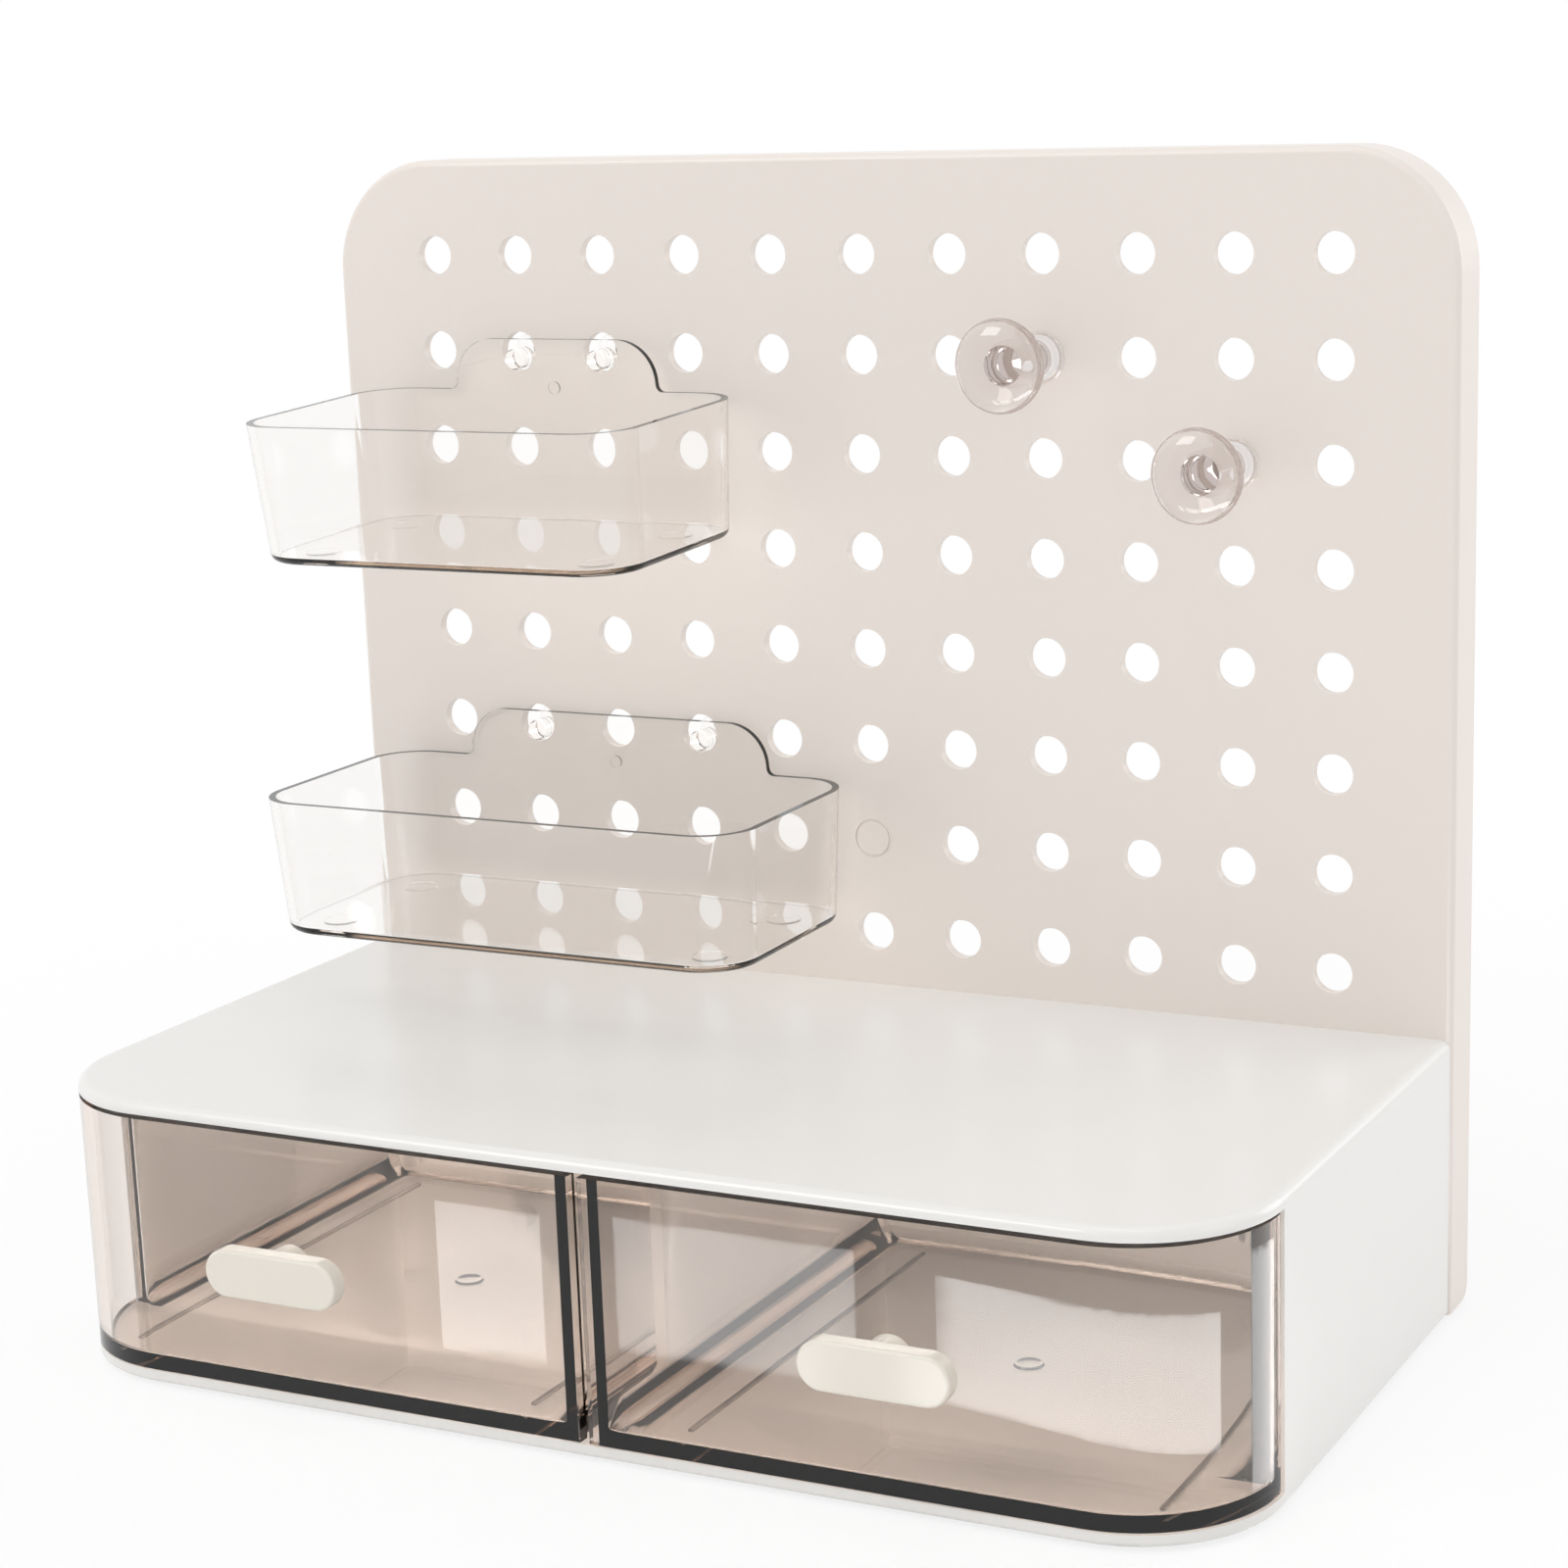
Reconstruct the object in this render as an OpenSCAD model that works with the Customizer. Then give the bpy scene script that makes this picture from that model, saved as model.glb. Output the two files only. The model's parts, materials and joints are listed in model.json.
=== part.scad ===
// Pegboard desk organizer: a low two-drawer base with an upright pegboard behind it,
// two clear hanging trays and two clear pegs.
// +X is to the right, +Y to the back, +Z up. The origin is on the desk, under the
// middle of the whole outline, from the front of the knobs to the back of the board.

/* [Base] */
// How far the base's sides stand in from the pegboard's sides
side_step = 0.5; // [0:0.1:2]
// Depth of the base, from its front edge to the face of the pegboard
base_d = 156.5; // [130:0.5:190]
// Height of the base's top surface above the desk
base_top = 72; // [60:0.5:90]
// Thickness of the base's top plate
top_t = 3; // [2.8:0.1:4]
// Thickness of the bottom plate
bottom_t = 3; // [2.6:0.1:4]
// Plan radius of the two front corners
base_corner_r = 33; // [20:1:45]
// Radius of the rolled edge around the top plate
top_edge_r = 2.5; // [0.5:0.1:2.6]
// Radius of the rolled edge under the bottom plate
bottom_edge_r = 1.2; // [0.4:0.1:2]
// Thickness of the side walls
wall_t = 3; // [2.4:0.1:4]
// Thickness of the wall at the back of the drawer bays
rear_t = 2.5; // [2:0.1:4]
// Thickness of the divider between the drawers
divider_t = 3; // [2:0.1:4]
// Thickness of the tongues that locate the housing in the bottom plate
tongue_t = 1.4; // [1:0.1:1.6]
// Depth of those tongues
tongue_h = 1.2; // [0.8:0.1:1.6]
// Clearance around the tongues and around the feet in their sockets
fit_gap = 0.1; // [0.05:0.05:0.2]

/* [Pegboard] */
// Width of the pegboard, and so of the whole organizer
board_w = 311; // [271:1:361]
// Height of the pegboard's top edge above the desk
board_top = 286; // [265:1:330]
// Depth of the pegboard's rim, front to back
board_depth = 15.5; // [13:0.5:22]
// Thickness of the perforated face
face_t = 3; // [2.4:0.1:4]
// Thickness of the rim behind the face
rim_t = 2.5; // [2:0.1:4]
// Radius of the two top corners
board_corner_r = 29; // [15:1:40]
// Radius of the edge between face and rim
board_edge_r = 1.8; // [0.5:0.1:2.2]
// Radius of the rim's lower back edge
heel_r = 4; // [2:0.5:6]

/* [Peg holes] */
// Distance between neighbouring holes
pitch = 25; // [22:0.5:26]
// Diameter of the holes
hole_d = 10.2; // [10:0.1:12]
// Distance from the board's top edge to the middle of the top row
top_margin = 24.75; // [20:0.25:30]
// Least distance from the board's sides to the middle of the outer columns
side_margin = 25; // [20:1:30]
// Least distance from the base's top to the middle of the lowest row
base_margin = 12; // [9:1:14]

/* [Drawers] */
// Height of the gap under the top plate
drawer_top_gap = 0.9; // [0.5:0.1:2]
// Height of the runners under a drawer's floor
runner_h = 0.6; // [0.4:0.1:1.5]
// Width of a runner
runner_w = 1.2; // [0.8:0.1:3]
// Distance between a drawer's two runners
runner_spacing = 114; // [80:1:120]
// Thickness of a drawer's front
front_t = 3; // [2.4:0.1:4]
// Thickness of a drawer's side and back walls
drawer_wall_t = 2.6; // [2:0.1:3.5]
// Thickness of a drawer's floor
drawer_floor_t = 3; // [2:0.1:4]
// Gap between the two drawer fronts
front_gap = 2.4; // [1.6:0.1:2.8]
// How far the fronts stand proud of the base's front edge
front_proud = 0.5; // [0:0.1:1.5]
// How far the fronts stay inside the base's side faces
side_inset = 0.5; // [0:0.1:1]
// Sliding gap beside a drawer, to the side wall and to the divider
slide_gap = 1.2; // [0.6:0.1:2]
// Gap between a drawer's shoulder and the end of the side wall
shoulder_gap = 0.5; // [0.3:0.1:1]
// Free space behind a drawer
back_gap = 6.5; // [6.2:0.1:12]
// Radius of the fillets inside a drawer
drawer_fillet = 5; // [2:0.5:8]

/* [Knobs] */
// Length of a knob's plate
knob_w = 37; // [25:0.5:60]
// Height of a knob's plate
knob_h = 14.5; // [12:0.5:20]
// Thickness of a knob's plate
knob_t = 4; // [3.4:0.1:6]
// Finger space behind the plate
knob_gap = 5.5; // [4:0.1:12]
// Diameter of the boss behind the plate
knob_boss_d = 9.6; // [7:0.1:11]
// Radius of the plate's rolled edges
knob_edge_r = 1.4; // [0.4:0.1:1.6]

/* [Trays] */
// Rim width of the upper tray
upper_tray_w = 112.8; // [90:0.2:118]
// Rim width of the lower tray
lower_tray_w = 142.4; // [120:0.2:145]
// Rim depth of both trays, front to back
tray_d = 70; // [50:0.5:90]
// Height of both trays, rim to underside
tray_h = 35.6; // [25:0.2:45]
// Distance from the hook holes' centre down to the rim
tray_rim_drop = 9.8; // [8:0.1:14]
// Thickness of a tray's walls and floor
tray_wall_t = 1.8; // [1.4:0.1:2.6]
// How far the walls lean in from rim to underside
tray_draft = 2.2; // [0.5:0.1:4]
// Plan radius of a tray's corners at the rim
tray_corner_r = 14; // [8:0.5:18]
// Width of the upper tray's hanging tab
upper_tab_w = 61; // [50:0.5:75]
// Width of the lower tray's hanging tab
lower_tab_w = 91; // [80:0.5:110]
// Height of the tab's top edge above the hook holes' centre
tab_rise = 3.6; // [3:0.1:8]
// Radius of the tab's shoulders
tab_corner_r = 12; // [6:0.5:12.5]
// Forward lean of the upper tray on its hooks, in degrees
upper_lean = 2.8; // [0:0.1:3]
// Forward lean of the lower tray on its hooks, in degrees
lower_lean = 0.5; // [0:0.1:3]
// Gap between a tray and the pegboard at its lowest point
tray_gap = 0.3; // [0.3:0.1:0.6]
// Diameter of a hook's pin
hook_d = 5.5; // [4.5:0.1:5.8]
// How far a hook's pin sits below the hole's centre
hook_drop = 1.9; // [1.6:0.1:2]
// Height that a hook's tip turns up behind the face
hook_rise = 3; // [2:0.1:3.2]
// Play between the face's back and a hook's tip
hook_play = 2.6; // [2.5:0.1:4]
// Thickness of a hook's tip
hook_tip_t = 2; // [1.5:0.1:3]

/* [Pegs] */
// Diameter of a peg's head
peg_head_d = 23; // [16:0.5:24]
// Thickness of a peg's head
peg_head_t = 6.5; // [5:0.1:9]
// Overall length of a peg in front of the board
peg_len = 29.5; // [24:0.5:45]
// Diameter of the collar against the board
peg_collar_d = 12.6; // [12.4:0.1:18]
// Thickness of the collar
peg_collar_t = 2; // [1:0.1:4]
// Diameter of the stem at its waist
peg_waist_d = 7.4; // [5:0.1:9]
// Running gap between the peg's plug and its hole
plug_gap = 0.3; // [0.3:0.05:0.6]
// How far the plug reaches past the back of the face
plug_reach = 3; // [1:0.5:6]

/* [Screws and feet] */
// Diameter of the screws' shanks
screw_d = 2.8; // [2.4:0.1:3]
// Diameter of the screws' heads
screw_head_d = 5.6; // [5:0.1:6]
// Thickness of the screws' heads
screw_head_t = 1.8; // [1.4:0.1:2]
// Radial clearance around the shanks
screw_gap = 0.1; // [0.1:0.05:0.25]
// Distance from the base's sides to the screws that hold the pegboard
board_screw_inset = 45; // [30:1:80]
// Distance of those screws from the bottom plate and from the top plate
board_screw_margin = 15; // [10:1:20]
// Depth that a screw holds in its boss
screw_hold = 6; // [4:0.5:7]
// Height of the four feet below the base
foot_h = 1; // [0.6:0.1:3]
// Diameter of the feet
foot_d = 14; // [8:0.5:20]
// Depth of the feet's sockets
foot_socket = 0.8; // [0.4:0.1:1.2]
// Distance from the base's sides, front and back to the feet's centres
foot_inset = 24; // [16:0.5:40]

/* [Hidden] */
$fn = 96;

// Overall places, side to side, front to back and bottom to top
base_w = board_w - 2 * side_step;
knob_reach = front_proud + knob_gap + knob_t;
total_d = knob_reach + base_d + board_depth;
base_front_y = knob_reach - total_d / 2;
face_y = base_front_y + base_d;
board_back_y = face_y + board_depth;
base_z = foot_h;
floor_z = base_z + bottom_t;
ceiling_z = base_top - top_t;
wall_front_y = base_front_y + base_corner_r + 1;
bay_back_y = face_y - rear_t;

// Drawer places, for the right drawer; the left one is its mirror image
front_x0 = front_gap / 2;
front_x1 = base_w / 2 - side_inset;
front_y = base_front_y - front_proud;
shoulder_y = wall_front_y - shoulder_gap;
box_x0 = divider_t / 2 + slide_gap;
box_x1 = base_w / 2 - wall_t - slide_gap;
box_back_y = bay_back_y - back_gap;
drawer_z0 = floor_z + runner_h;
drawer_z1 = ceiling_z - drawer_top_gap;
drawer_floor_top = drawer_z0 + drawer_floor_t;
knob_x = (front_x0 + front_x1) / 2;
knob_z = (drawer_z0 + drawer_z1) / 2;
runner_setback = 10;

// Screw bosses
boss_d = 5.4;
pilot_r = screw_d / 2 + screw_gap;
board_boss_d = 7.5;
board_screw_x = base_w / 2 - board_screw_inset;
board_screw_z = [floor_z + board_screw_margin, ceiling_z - board_screw_margin];
board_screw_len = back_gap - slide_gap;
bottom_boss_h = screw_hold + 2;
bottom_boss_y = bay_back_y - boss_d / 2 + 0.2;
bottom_screw_x = [-base_w / 2 + wall_t + boss_d, 0, base_w / 2 - wall_t - boss_d];

// Hole grid: as many whole pitches as fit; columns count from the left, rows from the top
cols = floor((board_w - 2 * side_margin) / pitch) + 1;
rows = floor((board_top - top_margin - base_top - base_margin) / pitch) + 1;
function hole_x(col) = (col - (cols + 1) / 2) * pitch;
function hole_z(row) = board_top - top_margin - (row - 1) * pitch;
// The one place that stays closed
blank_col = ceil(cols / 2);
blank_row = rows - 1;

// Where the trays and pegs hang
upper_tray_row = 2;
upper_tray_cols = [2, 3];
lower_tray_row = rows - 2;
lower_tray_cols = [2, 4];
upper_peg_row = 2;
upper_peg_col = cols - 3;
lower_peg_row = 3;
lower_peg_col = cols - 1;
tray_base = -tray_rim_drop - tray_h;
tray_foot_inset = 16;
tray_foot_d = 9;
tray_foot_h = 0.5;
tab_base_fillet = 2;

// Colours
white_shell = [0.91, 0.90, 0.88];
warm_face = [0.89, 0.86, 0.83];
cream = [0.95, 0.93, 0.88];
smoke = [0.62, 0.56, 0.50, 0.45];
clear = [0.86, 0.85, 0.84, 0.35];
steel = [0.70, 0.70, 0.72];
pad_grey = [0.25, 0.25, 0.26];

// ---------- Shared shapes ----------

// Section through a plate's rolled edge; the edge faces +X, the rolled corner is on top
module edge_section(run, t, r) {
  square([run - r, t]);
  square([run, t - r]);
  intersection() {
    square([run, t]);
    translate([run - r, t - r]) circle(r);
  }
}

// A straight length of that edge, along -Y
module edge_run(length, run, t, r) {
  rotate([90, 0, 0]) linear_extrude(length) edge_section(run, t, r);
}

// A plate with two rounded front corners and a rolled upper edge along its front and
// sides; it starts at y = 0 and is square at the back
module rolled_plate(w, d, corner, t, r) {
  half = w / 2 - corner;
  translate([-half, corner, 0]) cube([2 * half, d - corner, t]);
  translate([half, corner, 0]) rotate([0, 0, -90]) edge_run(2 * half, corner, t, r);
  for (side = [0, 1]) mirror([side, 0, 0]) {
    translate([half, d, 0]) edge_run(d - corner, corner, t, r);
    translate([half, corner, 0]) rotate([0, 0, -90]) rotate_extrude(angle = 90) edge_section(corner, t, r);
  }
}

// Plan outline with one rounded corner, at its front right, cut off square at y1
module wrap_outline(x0, x1, y0, y1, r) {
  intersection() {
    translate([x0, y0]) square([x1 - x0, y1 - y0]);
    union() {
      translate([x0, y0]) square([x1 - x0 - r, y1 - y0]);
      translate([x0, y0 + r]) square([x1 - x0, y1 - y0]);
      translate([x1 - r, y0 + r]) circle(r);
    }
  }
}

// Section of a concave fillet in the corner at the origin
module fillet_section(r) {
  difference() {
    translate([-0.1, -0.1]) square(r + 0.1);
    translate([r, r]) circle(r);
  }
}

// Cylinder along +Y
module rod_y(r, length) {
  rotate([-90, 0, 0]) cylinder(r = r, h = length);
}

// ---------- Base ----------

module housing() {
  side_d = face_y - wall_front_y;
  wall_h = ceiling_z - floor_z;
  color(white_shell) difference() {
    union() {
      translate([0, base_front_y, ceiling_z])
        rolled_plate(base_w, base_d, base_corner_r, top_t, top_edge_r);
      for (side = [0, 1]) mirror([side, 0, 0])
        translate([base_w / 2 - wall_t, wall_front_y, floor_z]) cube([wall_t, side_d, wall_h]);
      translate([-divider_t / 2, wall_front_y, floor_z]) cube([divider_t, side_d, wall_h]);
      translate([-base_w / 2, bay_back_y, floor_z]) cube([base_w, rear_t, wall_h]);
      housing_tongues(0);
      for (x = [-board_screw_x, board_screw_x], z = board_screw_z)
        translate([x, bay_back_y - board_screw_len, z]) rod_y(board_boss_d / 2, board_screw_len);
      for (x = bottom_screw_x)
        translate([x, bottom_boss_y, floor_z]) cylinder(d = boss_d, h = bottom_boss_h);
    }
    for (x = [-board_screw_x, board_screw_x], z = board_screw_z)
      translate([x, bay_back_y - board_screw_len - 1, z]) rod_y(pilot_r, rear_t + board_screw_len + 2);
    for (x = bottom_screw_x)
      translate([x, bottom_boss_y, base_z]) cylinder(r = pilot_r, h = bottom_t + screw_hold + 0.5);
  }
}

// Tongues under the side walls and the divider; gap widens them into their grooves
module housing_tongues(gap) {
  tongue_d = bay_back_y - wall_front_y;
  for (x = [-(base_w - wall_t) / 2, 0, (base_w - wall_t) / 2])
    translate([x - tongue_t / 2 - gap, wall_front_y - gap, floor_z - tongue_h - gap])
      cube([tongue_t + 2 * gap, tongue_d + 2 * gap, tongue_h + 2 * gap]);
}

module bottom_plate() {
  color(white_shell) difference() {
    translate([0, base_front_y, floor_z]) mirror([0, 0, 1])
      rolled_plate(base_w, base_d, base_corner_r, bottom_t, bottom_edge_r);
    housing_tongues(fit_gap);
    for (x = bottom_screw_x) translate([x, bottom_boss_y, base_z - 1]) {
      cylinder(r = pilot_r, h = bottom_t + 2);
      cylinder(r = screw_head_d / 2 + screw_gap, h = screw_head_t + 1);
    }
    for (x = [-1, 1], y = [0, 1])
      translate([0, 0, base_z - 1]) foot_place(x, y) cylinder(r = foot_d / 2 + fit_gap, h = foot_socket + 1);
  }
}

// Puts its child at a foot's centre: x is -1 or 1 for left or right, y is 0 or 1 for front or back
module foot_place(x, y) {
  translate([x * (base_w / 2 - foot_inset),
             y == 0 ? base_front_y + foot_inset : bay_back_y - foot_inset, 0]) children();
}

module foot(x, y) {
  color(pad_grey) foot_place(x, y) rotate_extrude() {
    square([foot_d / 2 - 0.5, base_z + foot_socket]);
    translate([0, 0.5]) square([foot_d / 2, base_z + foot_socket - 0.5]);
    translate([foot_d / 2 - 0.5, 0.5]) circle(0.5);
  }
}

// ---------- Pegboard ----------

module pegboard() {
  board_h = board_top - base_z;
  color(warm_face) difference() {
    translate([0, board_back_y, board_top]) mirror([0, 0, 1]) rotate([90, 0, 0])
      rolled_plate(board_w, board_h, board_corner_r, board_depth, board_edge_r);
    board_pocket(board_h);
    peg_holes();
    for (x = [-board_screw_x, board_screw_x], z = board_screw_z)
      translate([x, face_y - 1, z]) rod_y(pilot_r, face_t + 2);
    heel_cut();
  }
}

// The hollow behind the face, open at the back
module board_pocket(board_h) {
  inner_r = board_corner_r - rim_t;
  half = board_w / 2 - board_corner_r;
  translate([0, board_back_y + 1, board_top - rim_t]) mirror([0, 0, 1]) rotate([90, 0, 0])
    linear_extrude(board_depth - face_t + 1) {
      translate([-half - inner_r, inner_r]) square([2 * (half + inner_r), board_h - 2 * rim_t - inner_r]);
      translate([-half, 0]) square([2 * half, inner_r + 1]);
      for (x = [-half, half]) translate([x, inner_r]) circle(inner_r);
    }
}

module peg_holes() {
  for (col = [1:cols], row = [1:rows])
    if (col != blank_col || row != blank_row)
      translate([hole_x(col), face_y - 1, hole_z(row)]) rod_y(hole_d / 2, face_t + 2);
  // faint ring at the closed place
  translate([hole_x(blank_col), face_y - 1, hole_z(blank_row)]) difference() {
    rod_y(hole_d / 2, 1.3);
    rod_y(hole_d / 2 - 0.6, 1.3);
  }
}

// Rounds the rim's lower back edge
module heel_cut() {
  translate([-board_w / 2 - 1, board_back_y - heel_r, base_z + heel_r])
    rotate([90, 0, 90]) linear_extrude(board_w + 2) difference() {
      translate([0, -heel_r - 1]) square([heel_r + 1, heel_r + 1]);
      circle(heel_r);
    }
}

// ---------- Drawers ----------

// Plan of the right drawer's outside
module drawer_outside() {
  wrap_outline(box_x0, front_x1, front_y, shoulder_y, base_corner_r);
  translate([front_x0, front_y]) square([box_x0 - front_x0 + 1, front_t]);
  translate([box_x0, front_y]) square([box_x1 - box_x0 - base_corner_r, box_back_y - front_y]);
  translate([box_x0, shoulder_y - 1]) square([box_x1 - box_x0, box_back_y - shoulder_y + 1]);
}

// Plan of the space inside it
module drawer_inside() {
  wrap_outline(box_x0 + drawer_wall_t, front_x1 - front_t, front_y + front_t,
               shoulder_y - front_t, base_corner_r - front_t);
  inner_w = box_x1 - box_x0 - 2 * drawer_wall_t;
  translate([box_x0 + drawer_wall_t, shoulder_y - front_t - 1])
    square([inner_w, box_back_y - drawer_wall_t - shoulder_y + front_t + 1]);
}

module drawer_fillets() {
  x0 = box_x0 + drawer_wall_t;
  x1 = box_x1 - drawer_wall_t;
  y1 = box_back_y - drawer_wall_t;
  z = drawer_floor_top;
  translate([x0, y1, z]) rotate([90, 0, 0])
    linear_extrude(y1 - front_y - front_t) fillet_section(drawer_fillet);
  translate([x1, y1, z]) mirror([1, 0, 0]) rotate([90, 0, 0])
    linear_extrude(y1 - shoulder_y) fillet_section(drawer_fillet);
  translate([x0, y1, z]) rotate([0, 0, -90]) mirror([0, 1, 0]) rotate([90, 0, 0])
    linear_extrude(x1 - x0) fillet_section(drawer_fillet);
}

module drawer_body() {
  color(smoke) difference() {
    union() {
      difference() {
        translate([0, 0, drawer_z0]) linear_extrude(drawer_z1 - drawer_z0) drawer_outside();
        translate([0, 0, drawer_floor_top]) linear_extrude(drawer_z1) drawer_inside();
      }
      drawer_fillets();
      for (side = [-1, 1])
        translate([knob_x + side * runner_spacing / 2 - runner_w / 2, front_y + front_t + runner_setback, floor_z])
          cube([runner_w, box_back_y - front_y - front_t - 2 * runner_setback, runner_h + 0.1]);
    }
    translate([knob_x, front_y - 1, knob_z]) rod_y(pilot_r, front_t + 2);
  }
}

module drawer_left() { mirror([1, 0, 0]) drawer_body(); }
module drawer_right() { drawer_body(); }

// ---------- Knobs ----------

module knob() {
  half = (knob_w - knob_h) / 2;
  plate_y = front_y - knob_gap - knob_t;
  color(cream) difference() {
    union() {
      translate([knob_x - half, plate_y, knob_z]) rotate([90, 0, 90]) linear_extrude(2 * half) {
        knob_section();
        mirror([0, 1]) knob_section();
      }
      for (side = [0, 1]) translate([knob_x, plate_y, knob_z]) mirror([side, 0, 0])
        translate([half, 0, 0]) rotate([-90, 0, 0]) rotate_extrude() rotate(90) mirror([0, 1]) knob_section();
      translate([knob_x, plate_y + knob_t - 0.5, knob_z]) rod_y(knob_boss_d / 2, knob_gap + 0.5);
    }
    translate([knob_x, front_y + 1, knob_z]) mirror([0, 1, 0]) rod_y(pilot_r, screw_hold + 1.5);
  }
}

// Upper half of the plate's section, with both long edges rolled
module knob_section() {
  square([knob_t, knob_h / 2 - knob_edge_r]);
  translate([knob_edge_r, 0]) square([knob_t - 2 * knob_edge_r, knob_h / 2]);
  for (x = [knob_edge_r, knob_t - knob_edge_r])
    translate([x, knob_h / 2 - knob_edge_r]) circle(knob_edge_r);
}

module knob_left() { mirror([1, 0, 0]) knob(); }
module knob_right() { knob(); }

// ---------- Screws ----------

// Round-headed cross screw: its head stands on z = 0 and its shank runs down
module screw(shank) {
  round_r = screw_head_t / 3;
  color(steel) difference() {
    union() {
      translate([0, 0, -shank]) cylinder(d = screw_d, h = shank + 0.5);
      rotate_extrude() {
        square([screw_head_d / 2, screw_head_t - round_r]);
        square([screw_head_d / 2 - round_r, screw_head_t]);
        translate([screw_head_d / 2 - round_r, screw_head_t - round_r]) circle(round_r);
      }
    }
    translate([0, 0, screw_head_t]) for (turn = [0, 90]) rotate([0, 0, turn])
      cube([screw_head_d * 0.54, 0.7, screw_head_t * 0.9], center = true);
  }
}

module knob_screw() {
  translate([knob_x, front_y + front_t, knob_z]) rotate([-90, 0, 0]) screw(front_t + screw_hold - 0.5);
}

module knob_screw_left() { mirror([1, 0, 0]) knob_screw(); }
module knob_screw_right() { knob_screw(); }

// Holds the pegboard to the back wall of the housing
module board_screw(x, z) {
  translate([x, face_y + face_t, z]) rotate([-90, 0, 0]) screw(face_t + rear_t + board_screw_len - 1);
}

// Holds the bottom plate to the housing, its head sunk into the plate
module bottom_screw(x) {
  translate([x, bottom_boss_y, base_z + screw_head_t]) mirror([0, 0, 1])
    screw(bottom_t - screw_head_t + screw_hold - 0.5);
}

module board_screw_left_low() { board_screw(-board_screw_x, board_screw_z[0]); }
module board_screw_left_high() { board_screw(-board_screw_x, board_screw_z[1]); }
module board_screw_right_low() { board_screw(board_screw_x, board_screw_z[0]); }
module board_screw_right_high() { board_screw(board_screw_x, board_screw_z[1]); }
module bottom_screw_left() { bottom_screw(bottom_screw_x[0]); }
module bottom_screw_middle() { bottom_screw(bottom_screw_x[1]); }
module bottom_screw_right() { bottom_screw(bottom_screw_x[2]); }

// ---------- Trays ----------
// A tray is drawn about the middle of its hook holes, with the pegboard's face at y = 0

// Rounded rectangle in plan, with its back on y = 0
module tray_outline(w, d, r) {
  hull() for (x = [-w / 2 + r, w / 2 - r], y = [-d + r, -r]) translate([x, y]) circle(r, $fn = 48);
}

// Tapered block between the underside, at z0, and the rim, at z1
module tray_block(w, inset, z0, z1, lean) {
  hull() {
    translate([0, -inset, z0]) linear_extrude(0.01)
      tray_outline(w - 2 * lean - 2 * inset, tray_d - lean - 2 * inset, tray_corner_r - lean - inset);
    translate([0, -inset, z1 - 0.01]) linear_extrude(0.01)
      tray_outline(w - 2 * inset, tray_d - 2 * inset, tray_corner_r - inset);
  }
}

module tab_outline(tab_w) {
  height = tray_rim_drop + tab_rise;
  half = tab_w / 2;
  translate([-half, -tab_corner_r]) square([tab_w, height]);
  translate([-half + tab_corner_r, 0]) square([tab_w - 2 * tab_corner_r, height]);
  for (x = [-half + tab_corner_r, half - tab_corner_r]) translate([x, height - tab_corner_r]) circle(tab_corner_r);
  for (side = [0, 1]) mirror([side, 0]) translate([half, 0]) fillet_section(tab_base_fillet);
}

module tray(w, tab_w, hook_span, row_z, mid_x, lean) {
  rim = -tray_rim_drop;
  color(clear) translate([mid_x, face_y - tray_gap, row_z + tray_base]) rotate([lean, 0, 0])
    translate([0, 0, -tray_base]) {
      difference() {
        union() {
          tray_block(w, 0, tray_base, rim, tray_draft);
          translate([0, 0, rim]) rotate([90, 0, 0]) linear_extrude(tray_wall_t) tab_outline(tab_w);
        }
        translate([0, 0, tray_wall_t]) tray_block(w, tray_wall_t, tray_base, rim, tray_draft);
      }
      for (x = [-1, 1] * (w / 2 - tray_foot_inset), y = [-tray_d + tray_foot_inset, -tray_foot_inset])
        translate([x, y, tray_base - tray_foot_h]) cylinder(d = tray_foot_d, h = tray_foot_h + 0.1);
      for (x = [-hook_span / 2, hook_span / 2]) translate([x, 0, 0]) hook();
    }
}

// Pin through a hole of the board, with a tip that turns up behind the face
module hook() {
  reach = tray_gap + face_t + hook_play;
  translate([0, -0.2, -hook_drop]) rod_y(hook_d / 2, reach + hook_tip_t + 0.2);
  translate([0, reach, 0]) rotate([-90, 0, 0]) mirror([0, 1, 0]) linear_extrude(hook_tip_t) {
    translate([0, hook_rise - hook_drop]) circle(hook_d / 2);
    translate([-hook_d / 2, -hook_drop]) square([hook_d, hook_rise]);
  }
}

module tray_upper() {
  tray(upper_tray_w, upper_tab_w, hole_x(upper_tray_cols[1]) - hole_x(upper_tray_cols[0]),
       hole_z(upper_tray_row), (hole_x(upper_tray_cols[0]) + hole_x(upper_tray_cols[1])) / 2, upper_lean);
}

module tray_lower() {
  tray(lower_tray_w, lower_tab_w, hole_x(lower_tray_cols[1]) - hole_x(lower_tray_cols[0]),
       hole_z(lower_tray_row), (hole_x(lower_tray_cols[0]) + hole_x(lower_tray_cols[1])) / 2, lower_lean);
}

// ---------- Pegs ----------

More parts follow.
